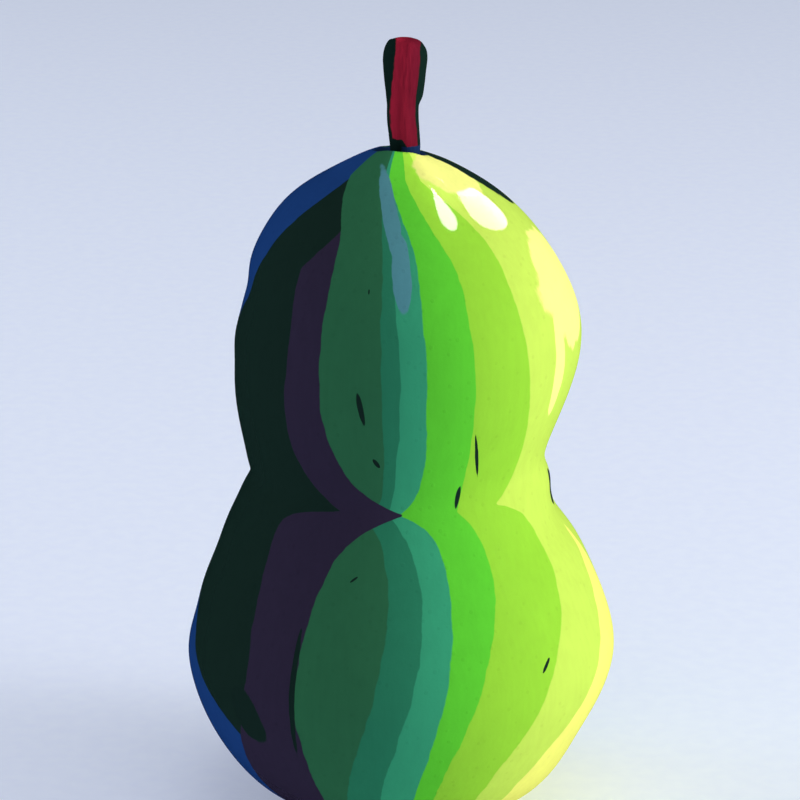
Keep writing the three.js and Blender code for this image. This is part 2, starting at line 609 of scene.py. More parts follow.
@dataclass
class PearBody:
    """The flesh of the pear: two lobes and a waist, a dimple for the stem and a hollow for the calyx."""

    height: float
    belly_radius: float
    socket_depth: float
    pocket_roof: float
    belly_share: float = 0.253
    belly_reach: tuple[float, float] = (7.9 * MM, 11.0 * MM)
    waist_share: float = 0.539
    waist_girth: float = 0.687
    waist_reach: tuple[float, float] = (5.9 * MM, 4.1 * MM)
    shoulder_share: float = 0.714
    shoulder_girth: float = 0.792
    shoulder_reach: tuple[float, float] = (8.1 * MM, 16.1 * MM)
    foot_inner: float = 7.0 * MM
    foot_outer: float = 9.2 * MM
    foot_spread: float = 17.6 * MM
    foot_rise: float = 0.85 * MM
    rim_radius: float = 4.4 * MM
    rim_spread: float = 13.9 * MM
    rim_fall: float = 5.2 * MM
    dimple_depth: float = 0.9 * MM
    socket_radius: float = 2.4 * MM
    pocket_radius: float = 2.5 * MM
    hollow_depth: float = 4.6 * MM
    oval: float = 0.012
    four_sided: float = 0.006
    rib_count: int = 5
    rib_depth: float = 0.035
    rib_height: float = 7.0 * MM
    shoulder_lean: float = 1.7 * MM
    shoulder_lean_span: float = 10.0 * MM
    shoulder_lean_share: float = 0.757
    waist_lean: float = -0.7 * MM
    waist_lean_span: float = 9.0 * MM
    true_within: float = 5.0 * MM
    grown_from: float = 13.0 * MM
    lump_size: float = 26.0 * MM
    lump_height: float = 0.30 * MM
    pleat_count: int = 7
    pleat_depth: float = 0.035
    pleat_span: float = 4.5 * MM
    crown_lift: float = 0.64 * MM
    crown_lift_front: float = 0.50 * MM
    crown_lift_side: float = -0.40 * MM
    crown_lift_ends: float = 0.35 * MM
    crown_span: float = 5.5 * MM
    swellings: tuple[Swelling, ...] = (
        Swelling(-100, 103 * MM, 0.9 * MM, 40, 5 * MM),
        Swelling(90, 15 * MM, -0.75 * MM, 45, 6 * MM),
        Swelling(90, 29 * MM, 0.45 * MM, 45, 7 * MM),
        Swelling(90, 50.3 * MM, -0.95 * MM, 40, 3.3 * MM),
        Swelling(90, 56.8 * MM, 0.75 * MM, 40, 2.4 * MM),
        Swelling(-90, 33.3 * MM, -0.45 * MM, 35, 4 * MM),
        Swelling(-90, 48.8 * MM, 0.5 * MM, 35, 4.5 * MM),
        Swelling(-90, 57 * MM, -0.6 * MM, 35, 2 * MM),
        Swelling(-90, 80 * MM, 0.55 * MM, 35, 3.5 * MM),
        Swelling(-90, 88.5 * MM, -0.5 * MM, 35, 3 * MM),
    )
    sides: int = 240
    hollow_steps: int = 14
    belly_steps: int = 70
    waist_steps: int = 80
    shoulder_steps: int = 54
    dome_steps: int = 84
    dimple_steps: int = 10
    painted_light_and_shade: PaintedLightAndShade = PaintedLightAndShade()
    surface: Optional[BVHTree] = None

    @classmethod
    def from_frame(cls) -> "PearBody":
        """Takes the driving sizes from the solids.

        Returns:
            The body, not built yet.
        """
        low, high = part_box(Piece.BODY.value)
        stem_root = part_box(Piece.STEM.value)[0].z
        return cls(
            height=high.z - low.z,
            belly_radius=(high.x - low.x) / 2,
            socket_depth=high.z - stem_root,
            pocket_roof=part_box(Piece.CALYX.value)[1].z,
        )

    @property
    def belly(self) -> Turn:
        """The widest turn of the lower lobe."""
        return Turn(self.belly_radius, self.belly_share * self.height, *self.belly_reach)

    @property
    def waist(self) -> Turn:
        """The narrow turn between the lobes."""
        radius = self.waist_girth * self.belly_radius
        return Turn(radius, self.waist_share * self.height, *self.waist_reach)

    @property
    def shoulder(self) -> Turn:
        """The widest turn of the upper lobe."""
        radius = self.shoulder_girth * self.belly_radius
        return Turn(radius, self.shoulder_share * self.height, *self.shoulder_reach)

    def outline(self) -> list[Vector]:
        """The outline from the pocket's roof, over the hollow and the foot, up both lobes into the socket.

        Returns:
            Its points.
        """
        mouth = self.height - self.dimple_depth
        points = [
            outline_point(0.0, self.pocket_roof),
            outline_point(self.pocket_radius, self.pocket_roof),
            outline_point(self.pocket_radius, self.hollow_depth),
        ]
        across = self.foot_inner - self.pocket_radius
        points += curve(
            points[-1],
            outline_point(self.pocket_radius + QUARTER_ARC * across, self.hollow_depth),
            outline_point(self.foot_inner, QUARTER_ARC * self.hollow_depth),
            outline_point(self.foot_inner, 0.0),
            self.hollow_steps,
        )
        points += [outline_point(self.foot_outer, 0.0)]
        from_foot = outline_point(self.foot_outer + self.foot_spread, self.foot_rise)
        points += self.rising(points[-1], from_foot, self.belly, self.belly_steps)
        points += self.rising(points[-1], self.above(self.belly), self.waist, self.waist_steps)
        points += self.rising(points[-1], self.above(self.waist), self.shoulder, self.shoulder_steps)
        points += curve(
            points[-1],
            self.above(self.shoulder),
            outline_point(self.rim_radius + self.rim_spread, self.height - self.rim_fall),
            outline_point(self.rim_radius, self.height),
            self.dome_steps,
        )
        lip = outline_point(self.socket_radius, self.height)
        end = outline_point(self.socket_radius, mouth)
        leave = points[-1].lerp(lip, CORNER_SHARE)
        points += curve(points[-1], leave, end.lerp(lip, CORNER_SHARE), end, self.dimple_steps)
        floor = self.height - self.socket_depth
        points += [outline_point(self.socket_radius, floor), outline_point(0.0, floor)]
        return points

    @staticmethod
    def above(turn: Turn) -> Vector:
        """The handle that leaves a turn upwards."""
        return outline_point(turn.radius, turn.height + turn.above)

    @staticmethod
    def rising(start: Vector, leave: Vector, turn: Turn, steps: int) -> list[Vector]:
        """The stretch of outline that climbs to a turn.

        Args:
            start: Where it begins.
            leave: The handle at its start.
            turn: The turn that it ends on.
            steps: How many points it gives.

        Returns:
            The points after the start.
        """
        arrive = outline_point(turn.radius, turn.height - turn.below)
        return curve(start, leave, arrive, outline_point(turn.radius, turn.height), steps)

    def lean_at(self, height: float) -> float:
        """How far the fruit leans to +X at a height."""
        shoulder = self.shoulder_lean * bump(
            height - self.shoulder_lean_share * self.height, self.shoulder_lean_span
        )
        return shoulder + self.waist_lean * bump(height - self.waist.height, self.waist_lean_span)

    def grown(self, point: Vector) -> Vector:
        """Where a point of the true turned shape comes to lie in the grown fruit.

        Args:
            point: The point on the turned shape.

        Returns:
            The same point on a slightly oval, lumpy and leaning fruit, whose two sockets stay true.
        """
        radius = math.hypot(point.x, point.y)
        if radius == 0:
            return point
        angle = math.radians(azimuth_of(point))
        flesh = smooth_step(radius, self.true_within, self.grown_from)
        round_off = self.oval * math.sin(2 * angle) + self.four_sided * math.sin(4 * angle)
        ribs = self.rib_depth * math.cos(self.rib_count * angle) * bump(point.z, self.rib_height)
        outside_pocket = smooth_step(radius, self.pocket_radius, self.foot_inner)
        lumps = self.lump_height * noise.noise(point / self.lump_size)
        lumps *= smooth_step(point.z, self.foot_rise, self.rib_height)
        lumps += sum(swelling.at(azimuth_of(point), point.z) for swelling in self.swellings)
        growth = 1 + flesh * (round_off + lumps / radius) + outside_pocket * ribs
        lean = flesh * self.lean_at(point.z)
        return Vector((point.x * growth + lean, point.y * growth, point.z + self.crown_rise(point)))

    def crown_rise(self, point: Vector) -> float:
        """How far the uneven and pleated crown stands above the turned shape.

        Args:
            point: The point on the turned shape.

        Returns:
            The rise, which is 0 away from the crown.
        """
        radius = math.hypot(point.x, point.y)
        angle = math.radians(azimuth_of(point))
        past_rim = radius - self.rim_radius
        slant = self.crown_lift_front * math.cos(angle) + self.crown_lift_side * math.sin(angle)
        slant += self.crown_lift_ends * math.cos(2 * angle)
        lift = (self.crown_lift + slant) * bump(past_rim, self.crown_span)
        pleats = self.pleat_depth * math.cos(self.pleat_count * angle) * self.pleat_span
        lift -= pleats * bump(past_rim - self.pleat_span, self.pleat_span)
        outside_socket = smooth_step(radius, self.socket_radius, self.rim_radius)
        return lift * outside_socket * smooth_step(point.z, self.shoulder.height, self.height)

    def past_edge(self, run: ZoneRun, number: int) -> Callable[[Vector], float]:
        """Makes the rule for how far a point of the grown fruit is past a zone edge.

        Args:
            run: The run of zones.
            number: Which of its edges, counted from 0.

        Returns:
            The rule.
        """
        def past_at(point: Vector) -> float:
            """How far a point is past the edge."""
            upright = Vector((point.x - self.lean_at(point.z), point.y, point.z))
            return run.past(number, point.z / self.height, azimuth_of(upright))

        return past_at

    def build(self) -> bpy.types.Object:
        """Makes the piece and keeps its surface for placing marks and lamps.

        Returns:
            The piece.
        """
        surface = spun(self.outline(), self.sides)
        reshape(surface, self.grown)
        self.surface = BVHTree.FromBMesh(surface)
        made = piece_object(surface, Piece.BODY)
        for name, run in vars(self.painted_light_and_shade).items():
            for number in range(len(run.edges)):
                vertex_values(made, f"{name}_{number}", self.past_edge(run, number))
        return made

    def spot(self, azimuth: float, height: float) -> tuple[Vector, Vector]:
        """Finds a place on the skin of the body that was built.

        Args:
            azimuth: The azimuth of the place.
            height: Its height.

        Returns:
            The place and the outward normal there.
        """
        out = heading(azimuth)
        start = out * 2 * self.belly_radius + Vector((0.0, 0.0, height))
        where, normal = self.surface.ray_cast(start, -out)[:2]
        return where, normal

    def dress(self, made: bpy.types.Object) -> None:
        """Gives the piece its skin."""
        made.data.materials.append(SkinFinish().material(self))


@dataclass(frozen=True)
class Mark:
    """A mark of its own on the skin, shaped as an egg that the skin cuts through."""

    azimuth: float
    height: float
    half_width: float
    half_length: float
    half_depth: float = 3.0 * MM
    tilt: float = 0.0
    facing: Optional[float] = None

    def reach(self, shader: Shader, place: Wire, body: PearBody) -> Wire:
        """How far out a place is in the mark.

        Args:
            shader: The material in the making.
            place: The place on the piece.
            body: The fruit that carries the mark.

        Returns:
            A number that is 0 in the mark's middle and 1 on its edge.
        """
        middle = body.spot(self.azimuth, self.height)[0]
        facing = self.azimuth if self.facing is None else self.facing
        turn = (0.0, math.radians(self.tilt), math.radians(facing))
        half = (self.half_width, self.half_depth, self.half_length)
        return shader.from_centre(place, middle, turn, half)


@dataclass(frozen=True)
class SkinFinish:
    """Thin waxy pear skin: crisp lengthwise zones of painted light and shade from pale yellow to near-black
    green, painted highlights, a painted reflection of the sky, painted shade, pores and scars.
    """

    # Pale yellow, yellow, lime, green, light teal, teal and dark green: the skin's yellows and greens with
    # painted light, palest on the side that the key light falls on and darker towards the shade.
    painted_lit_zones: tuple[Colour, ...] = (
        (0.86, 0.86, 0.175),
        (0.515, 0.72, 0.094),
        (0.29, 0.62, 0.040),
        (0.11, 0.58, 0.033),
        (0.040, 0.333, 0.166),
        (0.0247, 0.204, 0.1035),
        (0.0285, 0.145, 0.062),
    )
    # Painted shade in aubergine and near-black green, then navy, a painted reflection of bluish light on the
    # shaded rim.
    shaded_zones: tuple[Colour, ...] = (
        (0.0315, 0.0234, 0.047),
        (0.0092, 0.0245, 0.018),
        (0.0126, 0.052, 0.19),
    )
    edge_softness: float = 0.022
    # The colour of the painted highlights.
    pale: Colour = (0.93, 0.93, 0.245)
    # The colour of the painted reflection of the sky.
    painted_sky_reflection: Colour = (0.088, 0.271, 0.302)
    # The colour of the painted shade marks, also used for the scars.
    shade: Colour = (0.0085, 0.0225, 0.0172)
    # The colour of the painted shadow in the dimple round the stem.
    painted_dimple_shadow: Colour = (0.010, 0.028, 0.085)
    # Painted highlights: pale patches on the lit side of the upper lobe and by the stem.
    painted_highlight_marks: tuple[Mark, ...] = (
        Mark(75, 90 * MM, 7.8 * MM, 10 * MM, 9 * MM, 32),
        Mark(60, 78.5 * MM, 1.6 * MM, 10.5 * MM),
        Mark(55, 107.1 * MM, 6.3 * MM, 4.8 * MM, 5.4 * MM, 0, 0),
    )
    # A painted reflection of the sky: the bluish streak down the front of the dome.
    painted_sky_reflection_marks: tuple[Mark, ...] = (
        Mark(0.4, 95.6 * MM, 1.5 * MM, 5.2 * MM, 18 * MM, -4, 0),
        Mark(-5.0, 102.6 * MM, 1.15 * MM, 7.4 * MM, 18 * MM, -12.5, 0),
    )
    # Painted shade: dark slivers at the crown, at the waist and low on the shaded side.
    shade_marks: tuple[Mark, ...] = (
        Mark(97.0, 105.6 * MM, 9.4 * MM, 4.8 * MM, 3.7 * MM, 24, 0),
        Mark(87.6, 54.4 * MM, 2.2 * MM, 3.4 * MM, 3 * MM, -12),
        Mark(-45.4, 24.2 * MM, 3.0 * MM, 5.6 * MM, 4 * MM, -26),
    )
    scars: tuple[Mark, ...] = (
        Mark(27.2, 66.6 * MM, 0.30 * MM, 4.3 * MM, 3 * MM, -13),
        Mark(21.8, 59.8 * MM, 0.38 * MM, 2.1 * MM, 3 * MM, 8),
        Mark(-13.1, 75.2 * MM, 0.45 * MM, 2.7 * MM, 3 * MM, -12),
        Mark(-8.2, 66.2 * MM, 0.36 * MM, 0.9 * MM, 3 * MM, -35),
        Mark(41.7, 33.4 * MM, 0.30 * MM, 1.3 * MM, 3 * MM, 44),
        Mark(-15.0, 47.9 * MM, 0.16 * MM, 0.7 * MM, 3 * MM, 52),
        Mark(-11.5, 93.0 * MM, 0.14 * MM, 0.4 * MM),
        Mark(-29.8, 31.0 * MM, 0.5 * MM, 12.5 * MM, 4 * MM),
    )
    mark_softness: float = 0.06
    painted_dimple_shadow_radius: float = 4.7 * MM
    painted_dimple_shadow_full: float = 3.76 * MM
    crown_radius: float = 25.0 * MM
    painted_crown_light: float = 0.46
    # The painted light on the crown is weaker past green's edge, by green_share, and past light teal's edge
    # there is none.
    green_edge: str = "painted_lit_2"
    teal_edge: str = "painted_lit_3"
    green_share: float = 0.5
    bright_within: float = 7.0 * MM
    bright_until: float = 14.0 * MM
    matt_radius: float = 9.2 * MM
    gloss_radius: float = 11.96 * MM
    coat: float = 0.35
    coat_roughness: float = 0.045
    coarse: Grain = Grain(7 * MM, 1.0, 0.35)
    fine: Grain = Grain(1.6 * MM, 2.0, 0.35)
    streaks: Grain = Grain(0.9 * MM, 3.0, 0.06)
    mottle: Grain = Grain(4 * MM, 3.0)
    pitting: Grain = Grain(0.5 * MM)
    zone_wobble: tuple[float, float] = (0.20, 0.14)
    mark_wobble: tuple[float, float] = (0.5, 0.3)
    scar_wobble: float = 0.8
    painted_dimple_shadow_wobble: float = 1.0 * MM
    pore_spacing: float = 2.1 * MM
    pore_edges: tuple[float, float] = (0.20, 0.10)
    streak_tone: float = 0.12
    mottle_tone: float = 0.10
    pore_tone: float = -0.05
    relief_depth: float = 0.08 * MM
    pitting_height: float = 0.25
    pore_height: float = 0.25
    scar_height: float = -0.6
    mottle_height: float = 0.3
    roughness: float = 0.46
    mottle_roughness: float = 0.12
    pore_roughness: float = 0.10
    scar_roughness: float = 0.25

    def zone_colour(self, shader: Shader, run: str, zones: Sequence[Colour], uneven: Wire) -> Wire:
        """The colours of a run of zones, with a crisp edge between each two.

        Args:
            shader: The material in the making.
            run: The name of the run, which the body keeps its edges by.
            zones: The colours of its zones.
            uneven: What makes the edges uneven.

        Returns:
            The colour.
        """
        colour: Value = zones[0]
        for number, zone in enumerate(zones[1:]):
            colour = shader.mixed(self.past(shader, f"{run}_{number}", uneven), colour, zone)
        return colour

    def past(self, shader: Shader, edge: str, uneven: Wire) -> Wire:
        """Whether a place is past a zone edge of a name, with the softness of the zones' edges."""
        return shader.rise(shader.kept(edge) + uneven, -self.edge_softness, self.edge_softness)

    def cover(
        self, shader: Shader, place: Wire, body: PearBody, marks: Sequence[Mark], edge: Wire
    ) -> Wire:
        """The cover of a group of marks, from 0 outside all of them to 1 inside any.

        Args:
            shader: The material in the making.
            place: The place on the piece.
            body: The fruit that carries the marks.
            marks: The group.
            edge: What makes their edges uneven.

        Returns:
            The cover.
        """
        bare: Value = 1.0
        for mark in marks:
            reach = mark.reach(shader, place, body) + edge
            inside = shader.rise(reach, 1.0 + self.mark_softness, 1.0 - self.mark_softness)
            bare = bare * (1.0 - inside)
        return 1.0 - bare

    def zones(self, shader: Shader, place: Wire, away: Wire, uneven: Wire) -> Wire:
        """The colour of the zones, with painted light on the crown by the stem.

        Args:
            shader: The material in the making.
            place: The place on the piece.
            away: How far the place is from the fruit's axis.
            uneven: What makes the edges uneven.

        Returns:
            The colour.
        """
        # Painted light and shade: the lit zones, then the shaded zones past the border.
        painted_lit = self.zone_colour(shader, "painted_lit", self.painted_lit_zones, uneven)
        shaded = self.zone_colour(shader, "shaded", self.shaded_zones, uneven)
        past = self.past(shader, "border_0", uneven)
        # Painted light on the crown by the stem, where the lamps light it less; weaker past green's edge and
        # none past light teal's.
        to_side = shader.wire("ShaderNodeSeparateXYZ", {}, {0: place}, "X")
        bright = shader.rise(to_side, self.bright_until, self.bright_within)
        bright = bright * (1.0 - self.past(shader, self.green_edge, uneven) * self.green_share)
        bright = bright * (1.0 - self.past(shader, self.teal_edge, uneven))
        crown = shader.rise(away, self.crown_radius, self.painted_dimple_shadow_radius) * bright
        return shader.toned(shader.mixed(past, painted_lit, shaded), 1.0 + crown * self.painted_crown_light)

    def material(self, body: PearBody) -> bpy.types.Material:
        """Makes the skin of a body.

        Args:
            body: The fruit that the marks are placed on.

        Returns:
            The material.
        """
        shader = Shader("pear_skin", {"Specular IOR Level": 0.0, "Coat Roughness": self.coat_roughness})
        place = shader.place()
        away = shader.length(shader.stretched(place, (1.0, 1.0, 0.0)))
        coarse = self.coarse.over(shader, place)
        fine = self.fine.over(shader, place)
        streaks = self.streaks.over(shader, place)
        mottle = self.mottle.over(shader, place)
        pitting = self.pitting.over(shader, place)
        uneven = coarse * self.zone_wobble[0] + fine * self.zone_wobble[1]
        edge = coarse * self.mark_wobble[0] + fine * self.mark_wobble[1]

        colour = self.zones(shader, place, away, uneven)
        glow = self.cover(shader, place, body, self.painted_highlight_marks, edge)
        painted_sky_reflection = self.cover(shader, place, body, self.painted_sky_reflection_marks, edge)
        shade = self.cover(shader, place, body, self.shade_marks, edge)
        scars = self.cover(shader, place, body, self.scars, fine * self.scar_wobble)
        # Painted highlights on the lit side of the upper lobe and by the stem.
        colour = shader.mixed(glow, colour, self.pale)
        # A painted reflection of the sky in a bluish streak.
        colour = shader.mixed(painted_sky_reflection, colour, self.painted_sky_reflection)
        # Painted shade in dark slivers.
        colour = shader.mixed(shade, colour, self.shade)

        cells = {"Vector": place, "Scale": 1.0 / self.pore_spacing}
        pores = shader.rise(shader.wire("ShaderNodeTexVoronoi", {}, cells, "Distance"), *self.pore_edges)
        tone = shader.summed(
            1.0, (streaks, self.streak_tone), (mottle, self.mottle_tone), (pores, self.pore_tone)
        )
        colour = shader.mixed(scars, shader.toned(colour, tone), self.shade)
        # Painted shadow in the dimple round the stem.
        painted_dimple_shadow = shader.rise(away + fine * self.painted_dimple_shadow_wobble, self.painted_dimple_shadow_radius, self.painted_dimple_shadow_full)
        colour = shader.mixed(painted_dimple_shadow, colour, self.painted_dimple_shadow)

        glossy = shader.rise(away, self.matt_radius, self.gloss_radius) * (1.0 - shade)
        shader.feed(shader.principled.inputs["Coat Weight"], glossy * self.coat)
        height = shader.summed(
            0.5, (pitting, self.pitting_height), (pores, self.pore_height),
            (scars, self.scar_height), (mottle, self.mottle_height),
        )
        shader.relief(height, self.relief_depth)
        roughness = shader.summed(
            self.roughness, (mottle, self.mottle_roughness), (pores, self.pore_roughness),
            (scars, self.scar_roughness),
        )
        return shader.dress(colour, roughness)


@dataclass
class Stem:
    """The stout woody stem, rooted in the dimple and flaring to a slanted head."""

    root: float
    sunk: float
    length: float
    dimple_depth: float
    root_radius: float = 2.1 * MM
    neck_radius: float = 2.45 * MM
    neck_share: float = 0.40
    head_radius: float = 3.4 * MM
    head_share: float = 0.82
    head_crown: float = 0.6
    flare: float = 0.3
    flute_count: int = 3
    flute_depth: float = 0.055
    flute_full_from: float = 0.25
    lean_side: float = 1.0 * MM
    lean_back: float = 0.5 * MM
    foot_bend: float = 0.8 * MM
    foot_bend_until: float = 0.40
    slant: float = 0.16
    slant_power: int = 4
    ridge_height: float = 0.10 * MM
    # Each grade of fibre has a pace round the stem, a pace along it and a weight.
    fibres: tuple[tuple[float, float, float], ...] = ((3.2, 5.0, 1.0), (8.0, 7.0, 0.6))
    crumple_height: float = 0.25 * MM
    crumple_size: float = 1.6 * MM
    crumple_from: float = 0.9
    bud_azimuth: float = 84.0
    bud_share: float = 0.52
    bud_foot: float = 0.10
    bud_height: float = 0.32 * MM
    bud_span: float = 1.5 * MM
    tip_side: float = 1.0 * MM
    tip_height: float = 0.3 * MM
    tip_from: float = 0.84
    strip_half: float = 1.94 * MM
    # The lit strip's lower end, as heights above the rim across the stem, and its middle, as places to +X.
    strip_foot: tuple[tuple[float, float], ...] = ((-0.3 * MM, 2.9 * MM), (0.4 * MM, 1.6 * MM))
    strip_middle: tuple[tuple[float, float], ...] = ((0.1, 0.1 * MM), (0.5, 0.04 * MM), (0.85, 0.30 * MM))
    painted_foot_shadow_height: float = 1.7 * MM
    sides: int = 120
    shaft_steps: int = 30
    head_steps: int = 26

    @classmethod
    def from_frame(cls, body: PearBody) -> "Stem":
        """Takes the driving sizes from the solids.

        Args:
            body: The fruit that the stem stands in.

        Returns:
            The stem, not built yet.
        """
        low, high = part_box(Piece.STEM.value)
        sunk = body.socket_depth
        return cls(low.z, sunk, high.z - low.z - sunk, body.dimple_depth)

    def outline(self) -> list[Vector]:
        """The outline from the root's floor up over the neck to the head.

        Returns:
            Its points, with heights from the root.
        """
        top = self.sunk + self.length
        neck = self.sunk + self.neck_share * self.length
        head = self.sunk + self.head_share * self.length
        lean = self.flare * (head - neck)
        points = [
            outline_point(0.0, 0.0),
            outline_point(self.root_radius, 0.0),
            outline_point(self.root_radius, self.sunk - self.dimple_depth),
        ]
        points += curve(
            points[-1],
            outline_point(self.neck_radius, self.sunk),
            outline_point(self.neck_radius, self.sunk + (neck - self.sunk) / 2),
            outline_point(self.neck_radius, neck),
            self.shaft_steps,
        )
        points += curve(
            points[-1],
            outline_point(self.neck_radius, neck + lean),
            outline_point(self.head_radius, head - lean),
            outline_point(self.head_radius, head),
            self.shaft_steps,
        )
        points += curve(
            points[-1],
            outline_point(self.head_radius, top),
            outline_point(self.head_radius * self.head_crown, top),
            outline_point(0.0, top),
            self.head_steps,
        )
        return points

    def rise_of(self, height: float) -> float:
        """A height above the rim as a share of the stem's length."""
        return max(0.0, height - self.sunk) / self.length

    def lean_at(self, height: float) -> float:
        """How far the stem leans, with a bend where it leaves the dimple.

        Args:
            height: A height from the root.

        Returns:
            The lean to +X there.
        """
        mouth = self.sunk - self.dimple_depth
        rise = self.rise_of(height)
        bend = smooth_step(height, mouth, self.sunk) * (1 - smooth_step(rise, 0.0, self.foot_bend_until))
        return self.lean_side * rise + self.foot_bend * bend

    def grown(self, point: Vector) -> Vector:
        """Where a point of the turned stem comes to lie in the fluted, ridged, leaning and slanted one.

        Args:
            point: The point on the turned shape, with its height from the root.

        Returns:
            The point in the pear's frame.
        """
        rise = self.rise_of(point.z)
        full = min(1.0, rise / self.flute_full_from)
        growth = 1.0
        if point.x or point.y:
            growth += full * self.growth_at(point, rise)
        slant = self.slant * point.x * rise**self.slant_power
        tip = bump(point.x - self.tip_side, self.tip_side) * smooth_step(rise, self.tip_from, 1.0)
        crumple = smooth_step(rise, self.crumple_from, 1.0) * noise.noise(point / self.crumple_size)
        return Vector(
            (
                point.x * growth + self.lean_at(point.z),
                point.y * growth + self.lean_back * rise**2,
                self.root + point.z - slant + self.tip_height * tip + self.crumple_height * full * crumple,
            )
        )

    def growth_at(self, point: Vector, rise: float) -> float:
        """How far the flutes, the fibres and the scar of a bud swell the stem at a point.

        Args:
            point: The point on the turned shape.
            rise: Its height as a share of the stem's length.

        Returns:
            The growth as a share of the radius.
        """
        angle = math.radians(azimuth_of(point))
        ridges = 0.0
        for around, along, weight in self.fibres:
            grain = Vector((around * math.sin(angle), around * math.cos(angle), along * rise))
            ridges += weight * noise.noise(grain)
        apart = math.radians(azimuth_of(point) - self.bud_azimuth) * math.hypot(point.x, point.y)
        past_bud = max(0.0, rise - self.bud_share) * self.length
        bud = bump(apart, self.bud_span) * bump(past_bud, 2 * self.bud_span)
        bud *= smooth_step(rise, self.bud_share - self.bud_foot, self.bud_share)
        swelling = self.ridge_height * ridges + self.bud_height * bud
        return self.flute_depth * math.cos(self.flute_count * angle) + swelling / self.neck_radius

    def painted_side_shade_at(self, point: Vector) -> float:
        """How far a point is from the lit strip of bark into the painted shade beside it.

        Args:
            point: A point of the grown stem.

        Returns:
            A number that is 0 on the strip's edge and grows by 1 over one radius of the neck.
        """
        height = point.z - self.root
        across = point.x - self.lean_at(height)
        middle = bent_line(self.rise_of(height), self.strip_middle)
        beside = abs(across - middle) - self.strip_half
        under = bent_line(across, self.strip_foot) - (height - self.sunk)
        return max(beside, under) / self.neck_radius

    def side_at(self, point: Vector) -> float:
        """How far a point is to the sunny side of the stem's middle, in radii of the neck."""
        return (point.x - self.lean_at(point.z - self.root)) / self.neck_radius

    def foot_at(self, point: Vector) -> float:
        """How high a point is above the stem's foot, where a shadow is painted, in lengths of that foot."""
        return (point.z - self.root - self.sunk) / self.painted_foot_shadow_height

    def build(self) -> bpy.types.Object:
        """Makes the piece.

        Returns:
            The piece.
        """
        surface = spun(self.outline(), self.sides)
        reshape(surface, self.grown)
        made = piece_object(surface, Piece.STEM)
        vertex_values(made, "painted_side_shade", self.painted_side_shade_at)
        vertex_values(made, "side", self.side_at)
        vertex_values(made, "foot", self.foot_at)
        return made

    def dress(self, made: bpy.types.Object) -> None:
        """Gives the piece its bark."""
        made.data.materials.append(BarkFinish().material())


@dataclass(frozen=True)
class BarkFinish:
    """Crimson bark with fine fibres, painted shade in near-black green beside its lit strip, a painted
    shadow at its foot and its sunny side painted darker.
    """

    crimson: Colour = (0.385, 0.0160, 0.039)
    # A darker crimson, painted on the stem's sunny side against the key light's shading.
    dusk: Colour = (0.145, 0.0080, 0.0212)
    painted_side_shade: Colour = (0.006, 0.017, 0.013)
    # The painted shadow at the stem's foot.
    painted_foot_shadow: Colour = (0.010, 0.028, 0.085)
    fibres: Grain = Grain(0.45 * MM, 3.0, 0.12)
    blotch: Grain = Grain(2.2 * MM)
    edge_softness: float = 0.04
    blotch_wobble: float = 0.25
    fibre_wobble: float = 0.2
    dusk_span: tuple[float, float] = (-0.8, 0.8)
    painted_foot_shadow_span: tuple[float, float] = (-0.3, -0.1)
    fibre_tone: float = 0.25
    blotch_tone: float = 0.2
    relief_depth: float = 0.12 * MM
    fibre_height: float = 0.9
    blotch_height: float = 0.4
    roughness: float = 0.62
    fibre_roughness: float = 0.3

    def material(self) -> bpy.types.Material:
        """Makes the bark.

        Returns:
            The material.
        """
        shader = Shader("stem_bark", {"Specular IOR Level": 0.0})
        place = shader.place()
        fibres = self.fibres.over(shader, place)
        blotch = self.blotch.over(shader, place)
        soft = self.edge_softness
        ragged = blotch * self.blotch_wobble + fibres * self.fibre_wobble
        # The sunny side is painted darker and the far side lighter, against the key light's shading.
        side = shader.kept("side")
        colour = shader.mixed(shader.rise(side, *self.dusk_span), self.crimson, self.dusk)
        tone = shader.summed(1.0, (fibres, self.fibre_tone), (blotch, self.blotch_tone))
        # Painted shade in near-black green beside and below the lit strip.
        dark = shader.rise(shader.kept("painted_side_shade") + ragged, -soft, soft)
        colour = shader.mixed(dark, shader.toned(colour, tone), self.painted_side_shade)
        # A painted shadow in navy at the stem's foot, on the side away from the key light.
        painted_foot_shadowed = shader.rise(shader.kept("foot") + ragged, 1.0 + soft, 1.0 - soft)
        colour = shader.mixed(painted_foot_shadowed * shader.rise(side, *self.painted_foot_shadow_span), colour, self.painted_foot_shadow)
        height = shader.summed(0.5, (fibres, self.fibre_height), (blotch, self.blotch_height))
        shader.relief(height, self.relief_depth)
        return shader.dress(colour, self.roughness + fibres * self.fibre_roughness)


